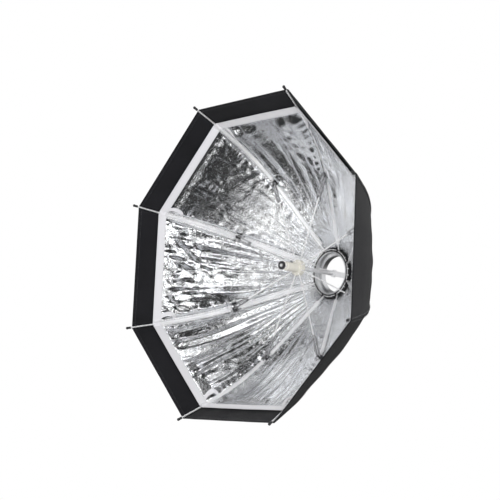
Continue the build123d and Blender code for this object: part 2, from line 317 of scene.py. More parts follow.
stretcherLook = {
    "bright": ((0.84, 0.84, 0.85, 1), (0.92, 0.92, 0.93, 1)),
    "dark": ((0.30, 0.30, 0.31, 1), (0.42, 0.42, 0.43, 1)),
    "rough": (0.30, 0.42), "forkGloss": -0.08, "metal": 0.75, "wearScale": 220.0, "forkStart": 0.176,
}
mouldedLook = {
    "cloudScale": 60.0, "fineScale": 2400.0, "lighter": 1.25, "rough": (-0.06, 0.08), "bump": (0.00008, 0.35),
}
turnedLook = {
    "dark": (0.70, 0.71, 0.72, 1), "light": (0.84, 0.84, 0.85, 1), "rough": (0.24, 0.42), "ringPitch": 0.0005,
    "wearScale": 45.0, "bump": (0.00003, 0.6),
}
threadLook = {"twistScale": 2600.0, "darker": 0.7, "rough": 0.7, "sheen": 0.3, "bump": (0.0002, 0.6)}


def blackWeave():
    n, look = Nodes("blackWeave"), blackLook
    place = sheetPlace(n)
    weave = weaveHeight(n, place, look["pitch"])
    cloud = n.noise(objectPlace(n), look["cloudScale"])
    fleck = n.noise(place, look["fleckScale"], 2.0)
    tone = n.blend(n.ramp(cloud, 0, 1, 0.3, 0.7), look["dark"], look["light"])
    tone = n.blend(n.ramp(fleck, 0, 0.5, 0.45, 0.75), tone, look["fleck"])
    n.set(Base_Color=tone, Roughness=n.ramp(cloud, *look["rough"]), Sheen_Weight=look["sheen"],
          Sheen_Roughness=look["sheenRough"], Specular_IOR_Level=look["specular"])
    soft = n.bump(n.noise(objectPlace(n), look["softScale"], 2.0), *look["softBump"])
    n.set(Normal=n.bump(weave, *look["weaveBump"], soft))
    return n.material


def silverLining():
    n, look = Nodes("silverLining"), liningLook
    place = sheetPlace(n)
    crinkle = n.add("ShaderNodeTexVoronoi", {"Vector": place, "Scale": look["crinkleScale"], "Randomness": 1.0},
                    feature="DISTANCE_TO_EDGE").outputs["Distance"]
    grain = n.noise(place, look["grainScale"], 2.0)
    cloud = n.noise(objectPlace(n), look["cloudScale"], 4.0)
    n.set(Base_Color=n.blend(n.ramp(cloud, 0, 1, 0.35, 0.65), look["dark"], look["light"]))
    n.set(Metallic=1.0, Roughness=n.ramp(grain, *look["rough"], 0.3, 0.7))
    first = n.bump(n.math("MINIMUM", crinkle, look["crinkleTop"]), *look["crinkleBump"])
    n.set(Normal=n.bump(n.noise(place, look["fineScale"], 3.0), *look["fineBump"], first))
    return n.material


# the same cloth pulled smooth over the rods
def silverTaut():
    n, look = Nodes("silverTaut"), tautLook
    cloud = n.noise(objectPlace(n), look["cloudScale"], 4.0)
    n.set(Base_Color=n.blend(n.ramp(cloud, 0, 1, 0.35, 0.65), look["dark"], look["light"]))
    n.set(Metallic=look["metal"], Roughness=n.ramp(cloud, *look["rough"]))
    n.set(Normal=n.bump(n.noise(sheetPlace(n), look["fineScale"], 3.0), *look["fineBump"]))
    return n.material


def whiteTape():
    n, look = Nodes("whiteTape"), tapeLook
    place = sheetPlace(n)
    loops = n.noise(place, look["loopScale"], 4.0, 0.7)
    ribs = weaveHeight(n, place, look["pitch"])
    height = n.math("ADD", loops, n.math("MULTIPLY", ribs, look["weave"]))
    n.set(Base_Color=n.blend(n.ramp(loops, 0, 1, 0.35, 0.7), look["dark"], look["light"]))
    n.set(Roughness=look["rough"], Sheen_Weight=look["sheen"], Normal=n.bump(height, *look["bump"]))
    return n.material


def steel(name, colour, roughness, scratch=0.05, metal=0.75):
    n, look = Nodes(name), steelLook
    place = objectPlace(n)
    wear = n.noise(place, look["wearScale"], 5.0, 0.65)
    n.set(Base_Color=n.blend(n.ramp(wear, 0, 1, 0.35, 0.75), colour, shade(colour, look["worn"])))
    n.set(Metallic=metal, Roughness=n.ramp(wear, roughness, roughness + look["spread"], 0.3, 0.8))
    n.set(Normal=n.bump(n.noise(place, look["scratchScale"], 2.0), look["scratchDepth"], scratch))
    return n.material


# bright rod with a blackened fork at its outer end
def stretcherSteel():
    n, look = Nodes("stretcherSteel"), stretcherLook
    place = objectPlace(n)
    fork = n.math("GREATER_THAN", fromAxis(n, place), look["forkStart"])
    wear = n.noise(place, look["wearScale"], 4.0)
    n.set(Base_Color=n.blend(fork, n.blend(wear, *look["bright"]), n.blend(wear, *look["dark"])))
    gloss = n.math("MULTIPLY", fork, look["forkGloss"])
    n.set(Metallic=look["metal"], Roughness=n.math("ADD", n.ramp(wear, *look["rough"]), gloss))
    return n.material


def moulded(name, colour, roughness):
    n, look = Nodes(name), mouldedLook
    place = objectPlace(n)
    cloud = n.noise(place, look["cloudScale"], 4.0)
    fine = n.noise(place, look["fineScale"], 2.0)
    smoother, rougher = look["rough"]
    n.set(Base_Color=n.blend(n.ramp(cloud, 0, 1, 0.3, 0.7), colour, shade(colour, look["lighter"])))
    n.set(Roughness=n.ramp(cloud, roughness + smoother, roughness + rougher))
    n.set(Normal=n.bump(fine, *look["bump"]))
    return n.material


# turned aluminium: rings of fine tool marks about the axis
def turnedSilver():
    n, look = Nodes("mountSilver"), turnedLook
    place = objectPlace(n)
    rings = n.math("SINE", n.math("MULTIPLY", fromAxis(n, place), 2 * math.pi / look["ringPitch"]))
    wear = n.noise(place, look["wearScale"], 5.0)
    n.set(Base_Color=n.blend(wear, look["dark"], look["light"]), Metallic=1.0)
    n.set(Roughness=n.ramp(wear, *look["rough"]), Normal=n.bump(rings, *look["bump"]))
    return n.material


def thread(name, colour):
    n, look = Nodes(name), threadLook
    twist = n.noise(objectPlace(n), look["twistScale"], 2.0)
    n.set(Base_Color=n.blend(twist, colour, shade(colour, look["darker"])), Roughness=look["rough"])
    n.set(Sheen_Weight=look["sheen"], Normal=n.bump(twist, *look["bump"]))
    return n.material


finishes = {
    "blackWeave": blackWeave(),
    "silverLining": silverLining(),
    "silverTaut": silverTaut(),
    "whiteTape": whiteTape(),
    "ribSteel": steel("ribSteel", (0.93, 0.93, 0.94, 1), 0.32),
    "screwSteel": steel("screwSteel", (0.62, 0.62, 0.63, 1), 0.25, 0.2),
    "stretcherSteel": stretcherSteel(),
    "blackPlastic": moulded("blackPlastic", (0.016, 0.016, 0.017, 1), 0.38),
    "ivoryPlastic": moulded("ivoryPlastic", (0.47, 0.455, 0.41, 1), 0.42),
    "mountSilver": turnedSilver(),
    "bridgeSilver": steel("bridgeSilver", (0.93, 0.93, 0.94, 1), 0.45, 0.3, 0.55),
    "blackThread": thread("blackThread", (0.03, 0.03, 0.033, 1)),
    "greyThread": thread("greyThread", (0.42, 0.42, 0.45, 1)),
    "darkThread": thread("darkThread", (0.035, 0.035, 0.04, 1)),
}
nodeFinish = {
    "mount_ring": "mountSilver", "crown": "blackPlastic", "crown_wire": "ribSteel",
    "clamp_band": "blackPlastic", "bridge": "bridgeSilver", "bridge_screws": "screwSteel", "shaft": "ribSteel", "shaft_knob": "blackPlastic",
    "shaft_end_ball": "ribSteel", "runner": "ivoryPlastic", "runner_wire": "ribSteel",
    "release_button": "blackPlastic", "rib": "ribSteel", "rib_tip": "blackPlastic", "rib_clip": "blackPlastic",
    "stretcher": "stretcherSteel", "canopy": "blackWeave", "tape": "whiteTape",
}
for name, node in nodes.items():
    stem = name.rstrip("0123456789").rstrip("_")
    node.data.materials.clear()
    node.data.materials.append(finishes[nodeFinish[stem]])
print("finishes on the CAD nodes")


# A sheet starts as a flat grid from -1 to 1 each way, and place() carries each corner to the canopy.
def makeSheet(name, columns, rows, place, thickness, finish, body, uvWidth, uvLength):
    mesh = bmesh.new()
    bmesh.ops.create_grid(mesh, x_segments=columns, y_segments=rows, size=1.0)
    layer = mesh.loops.layers.uv.new("cut")
    for face in mesh.faces:
        for loop in face.loops:
            loop[layer].uv = (loop.vert.co.x * uvWidth / 2, loop.vert.co.y * uvLength / 2)
    for vert in mesh.verts:
        vert.co = place(vert.co.x, (vert.co.y + 1) / 2)
    mesh.normal_update()
    bmesh.ops.solidify(mesh, geom=mesh.faces[:], thickness=thickness)
    bmesh.ops.recalc_face_normals(mesh, faces=mesh.faces[:])
    return finishPiece(name, mesh, finish, body)


def meshData(name, mesh):
    data = bpy.data.meshes.new(name)
    mesh.to_mesh(data)
    mesh.free()
    return data


def finishPiece(name, mesh, finish, body, sharpAngle=50):
    data = meshData(name, mesh)
    data.shade_smooth()
    data.set_sharp_from_angle(angle=math.radians(sharpAngle))
    piece = addObject(name, data)
    data.materials.append(finishes[finish])
    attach(piece, body)
    return piece


# stitches: a short thick thread for each, laid along a line of places with the cloth's outward direction
stitchSet = {"pitch": 0.0042, "length": 0.0028, "width": 0.0007, "height": 0.0005, "topShare": 0.55,
             "gap": 0.0002, "sharpAngle": 35, "lineSteps": 96}


def addStitches(mesh, line, away, size=1.0):
    travelled = 0.0
    for (a, up), (b, _) in zip(line, line[1:]):
        step = (b - a).length
        along = (b - a) / step
        across = along.cross(up).normalized()
        while travelled < step:
            centre = a + along * travelled + up * away
            made = bmesh.ops.create_cube(mesh, size=1.0)["verts"]
            for vert in made:
                x, y, z = vert.co
                slim = stitchSet["topShare"] if z > 0 else 1.0
                vert.co = (centre + along * x * stitchSet["length"] * slim * size
                           + across * y * stitchSet["width"] * slim * size + up * z * stitchSet["height"])
            travelled += stitchSet["pitch"] * size
        travelled -= step


def makeStitches(name, lines, away, finish, body, size=1.0):
    mesh = bmesh.new()
    for line in lines:
        addStitches(mesh, line, away, size)
    return finishPiece(name, mesh, finish, body, stitchSet["sharpAngle"])


# a row of places from one gore's centre line to the next, for stitches on the inner side of the cloth
def rowAcross(index, place, normalDistance):
    row = []
    for step in range(stitchSet["lineSteps"] + 1):
        across = -1 + 2 * step / stitchSet["lineSteps"]
        row.append((place(across), -gorePlace(index, across, normalDistance, 0)[1]))
    return row


# the black shell
shellSet = {
    "columns": 64, "rows": 110, "start": 0.0075, "offset": 0.0042, "thickness": 0.0005,
    "bow": 0.0045, "sag": 0.0015, "slack": 0.0075, "slackAngle": math.radians(-22.5), "slackFocus": 3,
    "fullness": 0.8, "foldDepth": 0.0011, "rodZone": (0.03, 0.3), "edgeZone": 0.02, "edgeCalm": 0.8,
}
# Each kind of crease: count to half a gore or pitch in metres, how far it strays and the grain of the straying,
# its share of the depth, and the distances from the crown where it grows in and fades out.
shellCreases = {
    "long": {"count": 1.6, "stray": 0.5, "grain": (7, 4), "seed": 1, "share": 0.5, "grow": (0.01, 0.2)},
    "cross": {"pitch": 0.048, "stray": 0.7, "grain": (6, 9), "seed": 5, "share": 0.6, "grow": (0.02, 0.1),
              "fade": (0.26, 0.4)},
    "soft": {"grain": (16, 7), "seed": 3},
}


# how far the loose outer cloth stands off the straight line between two ribs, and off the ribs on its low side
def shellStand(index, across, distance):
    angle = ribAngle(index) + across * halfPitch
    along = min(max((distance - shellSet["start"]) / (fabricFront - shellSet["start"]), 0), 1)
    length = math.sin(math.pi * along) ** shellSet["fullness"]
    bow = (shellSet["bow"] - shellSet["sag"] * math.sin(angle)) * bowShare(across)
    slack = shellSet["slack"] * max(math.cos(angle - shellSet["slackAngle"]), 0) ** shellSet["slackFocus"]
    return (bow + slack) * length


def shellFolds(fromCentre, distance, gore, width):
    share = fromCentre / max(width, narrowest)
    long, cross = shellCreases["long"], shellCreases["cross"]
    down = strayCrease(long, share * long["count"], fromCentre, distance, gore)
    down *= smooth(distance, *long["grow"])
    over = strayCrease(cross, distance / cross["pitch"], fromCentre, distance, gore)
    soft = softly(shellCreases["soft"], fromCentre, distance, gore)
    middle = smooth(distance, *cross["grow"]) * (1 - smooth(distance, *cross["fade"]))
    return shellSet["foldDepth"] * (down * long["share"] + soft + over * cross["share"] * middle)


# how far the cloth stands out in all, folds included
def shellOut(index, across, distance, fromCentre, gore):
    nearRib = smooth(abs(across), *shellSet["rodZone"])
    nearEdge = 1 - smooth(distance, lipStart - shellSet["edgeZone"], fabricFront) * shellSet["edgeCalm"]
    folds = shellSet["foldDepth"] + shellFolds(fromCentre, distance, gore, halfWidth(distance))
    return shellStand(index, across, distance) + folds * nearRib * nearEdge


def shellPlace(index, across, distance, lift):
    place, normal, fromCentre, gore = gorePlace(index, across, distance, shellSet["offset"])
    return place + normal * (shellOut(index, across, distance, fromCentre, gore) + lift)


def makeShell(index):
    def place(across, along):
        return shellPlace(index, across, shellSet["start"] + (fabricFront - shellSet["start"]) * along, 0)
    number = index + 1
    piece = makeSheet(f"shell_{number}", shellSet["columns"], shellSet["rows"], place, shellSet["thickness"],
                      "blackWeave", f"rib_{number}", 2 * halfWidth(fabricFront),
                      fabricFront - shellSet["start"])
    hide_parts(f"canopy_{number}")
    return piece


# the silver lining
liningSet = {
    "columns": 128, "rows": 144, "start": 0.0065, "offset": 0.0030, "thickness": 0.0003, "inset": 0.0048,
    "stand": 0.5, "billow": 0.0046, "streak": 0.0026, "slant": 0.0020, "tapePucker": 0.0007,
    "ribPucker": 0.0013, "crownPleat": 0.0024, "crumple": 0.0008, "clear": 0.0003, "ease": 0.0006,
    "underTape": 0.005, "rodZone": (0.0085, 0.017), "atTape": 0.13, "tapeZone": 0.03, "atCrown": 0.08,
    "crownZone": (0.012, 0.06), "puckerPitch": 0.021, "puckerGrain": 25,
}
liningCreases = {
    "patch": {"grain": (1.5, 7), "seed": 0},
    "billow": {"count": 0.95, "turn": 0.37, "stray": 0.35, "grain": (1.6, 5), "seed": 1, "grow": (0.03, 0.2)},
    "billowSoft": {"share": 0.8, "grain": (2.2, 8), "seed": 10},
    "streak": {"count": 2.7, "stray": 0.55, "grain": (2.4, 5), "seed": 2, "limit": 1.2, "grow": (0.02, 0.14)},
    "streakFine": {"share": 0.35, "count": 6.3, "stray": 0.8, "grain": (4, 7), "seed": 11},
    "slant": {"lean": (-0.7, 0.85), "pitch": 0.05, "stray": 0.8, "grain": (8, 8), "seed": 3, "reach": 0.09,
              "patch": (0.3, 0.6)},
    "crumple": {"slope": (23, 14), "stray": 1.1, "grain": (20, 20), "seed": 7, "share": 0.5,
                "patch": (0.35, 1.2)},
    "crumpleBack": {"slope": (-18, 27), "stray": 1.1, "grain": (24, 16), "seed": 8},
    "crumpleSoft": {"share": 0.8, "grain": (60, 60), "seed": 12},
    "pleat": {"count": 4.5, "stray": 0.25, "grain": (4, 1), "seed": 6, "reach": 0.11},
    "bead": {"base": 0.6, "pitch": 0.0185, "stray": 0.5, "grain": (18, 1), "seed": 5, "rod": 0.012,
             "reach": 0.007, "grow": (0.05, 0.12)},
}
# how each gore has creased in use: broad folds, long streaks, slanting folds at the tape and small crumples
goreCreases = [
    {"billow": 0.8, "streak": 0.5, "slant": 0.3, "crumple": 1.3},
    {"billow": 0.8, "streak": 1.1, "slant": 0.4, "crumple": 0.8},
    {"billow": 0.16, "streak": 0.12, "slant": 0.0, "crumple": 0.7},
    {"billow": 1.0, "streak": 0.7, "slant": 1.2, "crumple": 0.9},
    {"billow": 1.0, "streak": 1.2, "slant": 0.5, "crumple": 0.7},
    {"billow": 0.6, "streak": 0.95, "slant": 0.3, "crumple": 0.7},
    {"billow": 0.8, "streak": 1.2, "slant": 0.7, "crumple": 1.2},
    {"billow": 0.5, "streak": 1.0, "slant": 0.2, "crumple": 0.8},
]


# depth of the creases, inwards, at a place on a gore
def liningCrease(fromCentre, distance, gore, width):
    kinds, amount, seed = liningCreases, goreCreases[gore], gore * 3 + 1
    share = fromCentre / max(width, narrowest)
    patch = 0.5 + softly(kinds["patch"], share, distance, seed)

    kind, fine = kinds["billow"], kinds["billowSoft"]
    billow = strayCrease(kind, share * kind["count"] + kind["turn"] * gore, share, distance, seed)
    billow += fine["share"] * softly(fine, share, distance, seed)
    depth = liningSet["billow"] * amount["billow"] * billow * smooth(distance, *kind["grow"])

    kind, fine = kinds["streak"], kinds["streakFine"]
    streak = strayCrease(kind, share * kind["count"], share, distance, seed) * (kind["limit"] - patch)
    streak += fine["share"] * strayCrease(fine, share * fine["count"], share, distance, seed) * patch
    depth += liningSet["streak"] * amount["streak"] * streak * smooth(distance, *kind["grow"])

    kind = kinds["slant"]
    phase = (fromCentre + kind["lean"][gore % 2] * distance) / kind["pitch"]
    slant = strayCrease(kind, phase, fromCentre, distance, seed)
    nearTape = math.exp(-max(tapeStart - distance, 0) / kind["reach"])
    depth += liningSet["slant"] * amount["slant"] * slant * nearTape * smooth(patch, *kind["patch"])

    crumple = 0
    for kind in (kinds["crumple"], kinds["crumpleBack"]):
        phase = fromCentre * kind["slope"][0] + distance * kind["slope"][1]
        crumple += strayCrease(kind, phase, fromCentre, distance, seed)
    kind, fine = kinds["crumple"], kinds["crumpleSoft"]
    crumple += fine["share"] * softly(fine, fromCentre, distance, seed)
    less, more = kind["patch"]
    depth += liningSet["crumple"] * amount["crumple"] * kind["share"] * crumple * (less + more * patch)

    kind = kinds["pleat"]
    pleat = strayCrease(kind, share * kind["count"], share, 1, seed)
    depth += liningSet["crownPleat"] * math.exp(-distance / kind["reach"]) * pleat

    kind = kinds["bead"]
    bead = kind["base"] + strayCrease(kind, distance / kind["pitch"], distance, 2, seed)
    nearRod = math.exp(-max(width - abs(fromCentre) - kind["rod"], 0) / kind["reach"])
    return depth - liningSet["ribPucker"] * bead * nearRod * smooth(distance, *kind["grow"])


# how far the taut inner cloth follows the shell's bow
def liningStand(across, distance):
    bow = shellSet["bow"] * bowShare(across)
    return liningSet["stand"] * bow * math.sin(math.pi * min(distance / fabricFront, 1))


def liningPlace(index, across, distance, lift):
    place, normal, fromCentre, gore = gorePlace(index, across, distance, liningSet["offset"])
    width = halfWidth(distance)
    nearRib = smooth(abs(across) * width, *liningSet["rodZone"])
    nearTape = settle(liningSet["atTape"], tapeStart - distance, 0.0, liningSet["tapeZone"])
    nearCrown = settle(liningSet["atCrown"], distance, *liningSet["crownZone"])
    depth = (liningSet["inset"] + liningCrease(fromCentre, distance, gore, width)) * nearTape * nearCrown
    phase = fromCentre / liningSet["puckerPitch"] + rough(fromCentre * liningSet["puckerGrain"], 0, gore)
    depth += liningSet["tapePucker"] * (0.5 + 0.5 * crease(phase))
    # the lining eases against the shell and never goes through it
    room = shellOut(index, across, distance, fromCentre, gore) + shellSet["offset"] - liningSet["offset"]
    room -= shellSet["thickness"] + liningSet["clear"] + lift
    gap = room - (liningStand(across, distance) - depth * nearRib - lift)
    ease = liningSet["ease"]
    if gap < ease:
        gap = ease * math.exp((gap - ease) / ease)
    return place + normal * (room - gap)


def makeLining(index):
    start, end = liningSet["start"], tapeStart + liningSet["underTape"]

    def place(across, along):
        return liningPlace(index, across, start + (end - start) * along, 0)
    number = index + 1
    return makeSheet(f"lining_{number}", liningSet["columns"], liningSet["rows"], place, liningSet["thickness"],
                     "silverLining", f"rib_{number}", 2 * halfWidth(end), end - start)


# hook-and-loop tape between the lining and the lip
tapeSet = {
    "columns": 120, "rows": 8, "thickness": 0.0009, "inset": 0.0024, "insetZone": (0.002, 0.012),
    "overRod": 0.0062, "rodHalf": 0.009, "ripple": 0.0004, "grain": (30, 10), "seed": 0, "stitchIn": 0.0024,
    "cut": 0.9,        # its flat length as a share of the mouth's side
}


def tapePlace(index, across, distance, lift):
    place, normal, fromCentre, gore = gorePlace(index, across, distance, liningSet["offset"])
    fromRib = abs(across) * halfWidth(distance)
    ripple = tapeSet["ripple"] * softly(tapeSet, fromCentre, distance, gore)
    stand = liningStand(across, distance)
    stand -= tapeSet["inset"] * smooth(fromRib, *tapeSet["insetZone"]) + ripple
    rise = tapeSet["overRod"] * (1 - smooth(fromRib, 0.0, tapeSet["rodHalf"]))
    return place + normal * (stand - lift) - ribOutward(index, distance) * rise


def makeTape(index):
    def place(across, along):
        return tapePlace(index, across, tapeStart + ribLine["tapeWidth"] * along, 0)
    number = index + 1
    piece = makeSheet(f"tapeBand_{number}", tapeSet["columns"], tapeSet["rows"], place, tapeSet["thickness"],
                      "whiteTape", f"rib_{number}", 2 * halfWidth(lipStart), ribLine["tapeWidth"])
    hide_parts(f"tape_{number}")
    rows = []
    for distance in (tapeStart + tapeSet["stitchIn"], lipStart - tapeSet["stitchIn"]):
        def onTape(across):
            return tapePlace(index, across, distance, tapeSet["thickness"])
        rows.append(rowAcross(index, onTape, distance))
    makeStitches(f"tapeStitches_{number}", rows, stitchSet["gap"], "greyThread", f"rib_{number}")
    return piece


# silver pocket sewn over the rod, in two lengths with a gap for the clip
pocketSet = {
    "columns": 26, "step": 0.003, "start": 0.024, "clipGap": 0.013, "underTape": 0.002, "thickness": 0.0004,
    "half": 0.0088, "cut": 2.6, "tube": 0.0052, "flatTop": 0.0012, "rise": 0.0056, "base": 0.0010,
    "baseZone": 0.002, "pucker": 0.0006, "puckerFrom": 0.004, "puckerPitch": 0.0185, "puckerGrain": 40,
    "swing": 0.0004, "swingGrain": 30, "stitchAt": 0.76, "stitchSize": 1.55, "stitchSteps": 60,
    "stitchTilt": 0.1,
}


def pocketPlace(index, side, distance, lift):
    aside = abs(side) * pocketSet["half"]
    across = side * pocketSet["half"] / halfWidth(distance)
    place, normal, _, _ = gorePlace(index, across, distance, liningSet["offset"])
    phase = distance / pocketSet["puckerPitch"] + rough(distance * pocketSet["puckerGrain"], side, index)
    pucker = pocketSet["pucker"] * crease(phase)
    base = pocketSet["base"] * smooth(aside, 0.0, pocketSet["baseZone"])
    base += pucker * smooth(aside, pocketSet["puckerFrom"], pocketSet["half"])
    rise = pocketSet["rise"] * (1 - smooth(aside, pocketSet["flatTop"], pocketSet["tube"]))
    sway = rough(distance * pocketSet["swingGrain"], 3, index)
    swing = tangent(ribAngle(index)) * pocketSet["swing"] * sway
    return place - normal * (base + lift) - ribOutward(index, distance) * rise + swing


def makePockets(index):
    number = index + 1
    clip = ribLine["clipDistance"]
    width = pocketSet["cut"] * pocketSet["half"]
    lines = []
    parts = (("a", pocketSet["start"], clip - pocketSet["clipGap"]),
             ("b", clip + pocketSet["clipGap"], tapeStart + pocketSet["underTape"]))
    for part, start, end in parts:
        def place(across, along):
            return pocketPlace(index, across, start + (end - start) * along, 0)
        rows = int((end - start) / pocketSet["step"])
        piece = makeSheet(f"pocket_{number}_{part}", pocketSet["columns"], rows, place, pocketSet["thickness"],
                          "silverTaut", f"rib_{number}", width, end - start)
        for side in (-pocketSet["stitchAt"], pocketSet["stitchAt"]):
            line = []
            for step in range(pocketSet["stitchSteps"] + 1):
                distance = start + (end - start) * step / pocketSet["stitchSteps"]
                normal = gorePlace(index, side * pocketSet["stitchTilt"], distance, 0)[1]
                line.append((pocketPlace(index, side, distance, pocketSet["thickness"]), -normal))
            lines.append(line)
    makeStitches(f"pocketStitches_{number}", lines, stitchSet["gap"], "darkThread", f"rib_{number}",
                 pocketSet["stitchSize"])


# curved ribbon tab in the corner between a pocket and the tape
tabSet = {"columns": 8, "rows": 40, "fromRib": 0.0088, "depth": 0.0135, "back": 0.016, "half": 0.019,
          "band": 0.38, "lift": 0.0013, "thickness": 0.0007, "length": 0.052}


def makeTab(index):
    def place(across, along):
        turn = math.pi * along
        distance = tapeStart - tabSet["back"]
        distance += tabSet["half"] * math.cos(turn) * (1 + tabSet["band"] / 2 * across)
        aside = tabSet["fromRib"] + tabSet["depth"] * math.sin(turn) * (1 + tabSet["band"] * across)
        return liningPlace(index, -aside / halfWidth(distance), distance, tabSet["lift"])
    number = index + 1
    length, width = tabSet["length"], 2 * tabSet["band"] * tabSet["depth"]      # the ribbon's own cut
    piece = makeSheet(f"tab_{number}", tabSet["columns"], tabSet["rows"], place, tabSet["thickness"],
                      "whiteTape", f"rib_{number}", width, length)


# seam along the rib on the outside, with its two rows of stitches
seamSet = {
    "columns": 10, "rows": 110, "half": 0.0055, "short": 0.001, "lift": 0.0005, "thickness": 0.0007,
    "ridge": 0.0012, "roundness": 3, "ripple": 0.0002, "rippleGrain": (60, 2), "stitchAt": 0.62,
    "stitchLift": 0.0013, "stitchSteps": 110, "stitchGap": 0.0001,
}


def seamPlace(index, side, distance, lift):
    across = side * seamSet["half"] / halfWidth(distance)
    place, normal, _, _ = gorePlace(index, across, distance, shellSet["offset"])
    along, aside = seamSet["rippleGrain"]
    ridge = seamSet["ridge"] * (1 - abs(side) ** seamSet["roundness"])
    ridge += seamSet["ripple"] * rough(distance * along, side * aside, index + 1)
    return place + normal * (lift + shellStand(index, across, distance)) + ribOutward(index, distance) * ridge


def makeSeam(index):
    number = index + 1
    start, end = shellSet["start"], fabricFront - seamSet["short"]

    def place(across, along):
        return seamPlace(index, across, start + (end - start) * along, seamSet["lift"])
    piece = makeSheet(f"seam_{number}", seamSet["columns"], seamSet["rows"], place, seamSet["thickness"],
                      "blackWeave", f"rib_{number}", 2 * seamSet["half"], end - start)
    lines = []
    for side in (-seamSet["stitchAt"], seamSet["stitchAt"]):
        normal = radial(ribAngle(index) + math.copysign(halfPitch, side))
        line = []
        for step in range(seamSet["stitchSteps"] + 1):
            distance = start + (end - start) * step / seamSet["stitchSteps"]
            line.append((seamPlace(index, side, distance, seamSet["stitchLift"]), normal))
        lines.append(line)
    makeStitches(f"seamStitches_{number}", lines, seamSet["stitchGap"], "blackThread", f"rib_{number}")


# the hem is cloth folded inwards: a flattened roll round the shell's front edge
hemSet = {
    "columns": 64, "rows": 16, "width": 0.009, "overhang": 1.02, "half": 0.0007, "turn": 0.04, "lift": 0.0002,
    "thickness": 0.0004, "stitchIn": 0.002, "stitchLift": -0.0010,
}


def makeHem(index):
    number = index + 1
    begin = fabricFront - hemSet["width"]
    width, length = 2 * halfWidth(fabricFront), 2 * hemSet["width"]

    def place(across, along):
        turn = along * 2 - 1
        distance = begin + hemSet["width"] * (1 - abs(turn)) * hemSet["overhang"]
        side = math.copysign(hemSet["half"], turn) * min(abs(turn) / hemSet["turn"], 1)
        return shellPlace(index, across, distance, hemSet["lift"] + side)

    def onHem(across):
        return shellPlace(index, across, begin + hemSet["stitchIn"], hemSet["stitchLift"])
    piece = makeSheet(f"hem_{number}", hemSet["columns"], hemSet["rows"], place, hemSet["thickness"],
                      "blackWeave", f"rib_{number}", width, length)
    row = rowAcross(index, onHem, fabricFront)
    makeStitches(f"hemStitches_{number}", [row], 0.0, "blackThread", f"rib_{number}")


def foldWithRib(piece):
    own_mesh(piece)


# flat area of one share of cloth, from the crown to a distance along its rib
def flatArea(end, strips=200):
    area = 0.0
    for step in range(strips):
        area += 2 * halfWidth(end * (step + 0.5) / strips) * end / strips
    return area


shellArea, liningArea = flatArea(fabricFront), flatArea(tapeStart)
frontWidth = 2 * halfWidth(fabricFront)
for index in range(ribLine["count"]):
    number = index + 1
    shell = makeShell(index)
    lining = makeLining(index)
    tapeBand = makeTape(index)
    makePockets(index)
    makeTab(index)
    makeSeam(index)
    makeHem(index)
    for name in ("shell", "hem", "hemStitches", "seam", "seamStitches"):
        foldWithRib(bpy.data.objects[f"{name}_{number}"])
    for name in (f"pocket_{number}_a", f"pocket_{number}_b", f"pocketStitches_{number}"):
        foldWithRib(bpy.data.objects[name])
    for name in ("lining", "tapeBand", "tapeStitches", "tab"):
        foldWithRib(bpy.data.objects[f"{name}_{number}"])
print("canopy made")


# bright metal inside the crown
crownLow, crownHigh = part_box("crown")
crownSet = {
    "front": crownLow[1], "outer": crownHigh[0], "bore": crownHigh[0] - 0.010, "rear": crownHigh[1] - 0.0002,
    "lip": 0.0028, "wall": 0.0004, "keeperRadius": crownHigh[0] - 0.0024, "keeperWire": 0.0008,
    "keeperLift": 0.0004, "keeperGap": math.radians(8), "wireSides": 10, "wireSteps": 20,
}
plateSet = {"notches": 3, "width": 0.0024, "depth": 0.0034, "short": 0.0044, "setBack": 0.0004, "taper": 0.7,
            "sink": 0.55, "proud": 0.0002, "bevel": 0.0003}


# a spun profile about the axis, from its (radius, y) corners
def spinProfile(mesh, corners, closed, start=0.0, sweep=2 * math.pi, steps=192):
    verts = [mesh.verts.new(radial(start) * radius + Vector((0, y, 0))) for radius, y in corners]
    pairs = list(zip(verts, verts[1:])) + ([(verts[-1], verts[0])] if closed else [])
    edges = [mesh.edges.new(pair) for pair in pairs]
    full = abs(sweep - 2 * math.pi) < 0.001
    if closed and not full:
        mesh.faces.new(verts)
    bmesh.ops.spin(mesh, geom=verts + edges, cent=(0, 0, 0), axis=(0, 1, 0), angle=-sweep, steps=steps,
                   use_merge=full)


def makeThroatSleeve():
    mesh = bmesh.new()
    bore, front, wall = crownSet["bore"] - 0.0001, crownSet["front"], crownSet["wall"]
    lip = crownSet["bore"] + crownSet["lip"]
    # up the bore, over the rolled lip and back down inside
    corners = [(bore, crownSet["rear"]), (bore, front), (bore + 0.0004, front - 0.0006),
               (bore + 0.0011, front - 0.0009), (lip - 0.0003, front - 0.0007), (lip, front - 0.0001),
               (lip - 0.0004, front - 0.0001), (lip - 0.0006, front - 0.0004), (bore + 0.0009, front - 0.0005),
               (bore - wall * 0.2, front - 0.0003), (bore - wall, front + 0.0002),
               (bore - wall, crownSet["rear"])]
    spinProfile(mesh, corners, True)
    bmesh.ops.recalc_face_normals(mesh, faces=mesh.faces[:])
    finishPiece("throat_sleeve", mesh, "mountSilver", "hub", 35)


